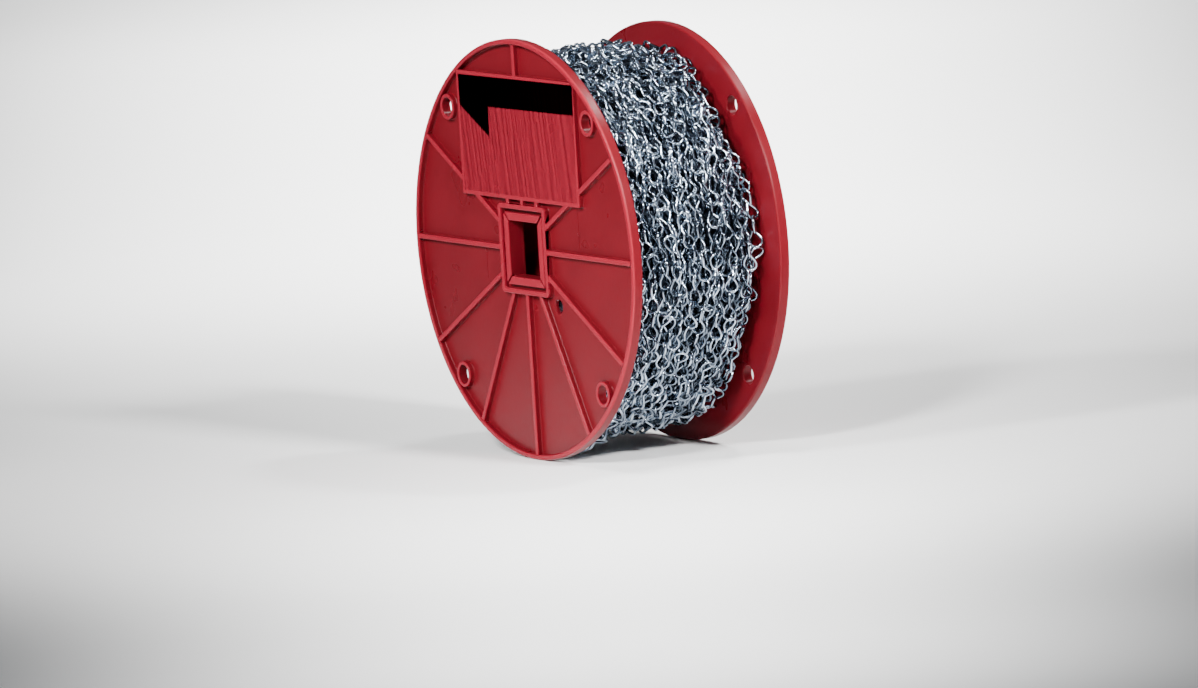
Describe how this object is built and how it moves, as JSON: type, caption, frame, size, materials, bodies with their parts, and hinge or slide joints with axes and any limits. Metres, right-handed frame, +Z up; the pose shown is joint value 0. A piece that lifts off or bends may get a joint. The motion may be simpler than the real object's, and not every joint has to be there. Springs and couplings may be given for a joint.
{
  "type": "reel of steel jack chain",
  "caption": "Round plastic reel with ribbed flanges and a square spindle bore, wound full of zinc-plated single jack chain and carrying a plain paper label.",
  "frame": {"origin": "middle of the footprint, at the level of the floor that both rims stand on", "axes": "+Z up, Y along the reel's axis with the labelled face towards -Y, +X to the right as that face is seen"},
  "size_m": [0.203, 0.088, 0.2031],
  "materials": {
    "red_plastic": "glossy, as moulded",
    "label_paper": "smooth coated",
    "zinc_steel": "bright zinc plate"
  },
  "bodies": {
    "root": {"front_reel_half": "red_plastic", "back_reel_half": "red_plastic", "product_label": "label_paper", "chain_winding": "zinc_steel"}
  },
  "joints": []
}
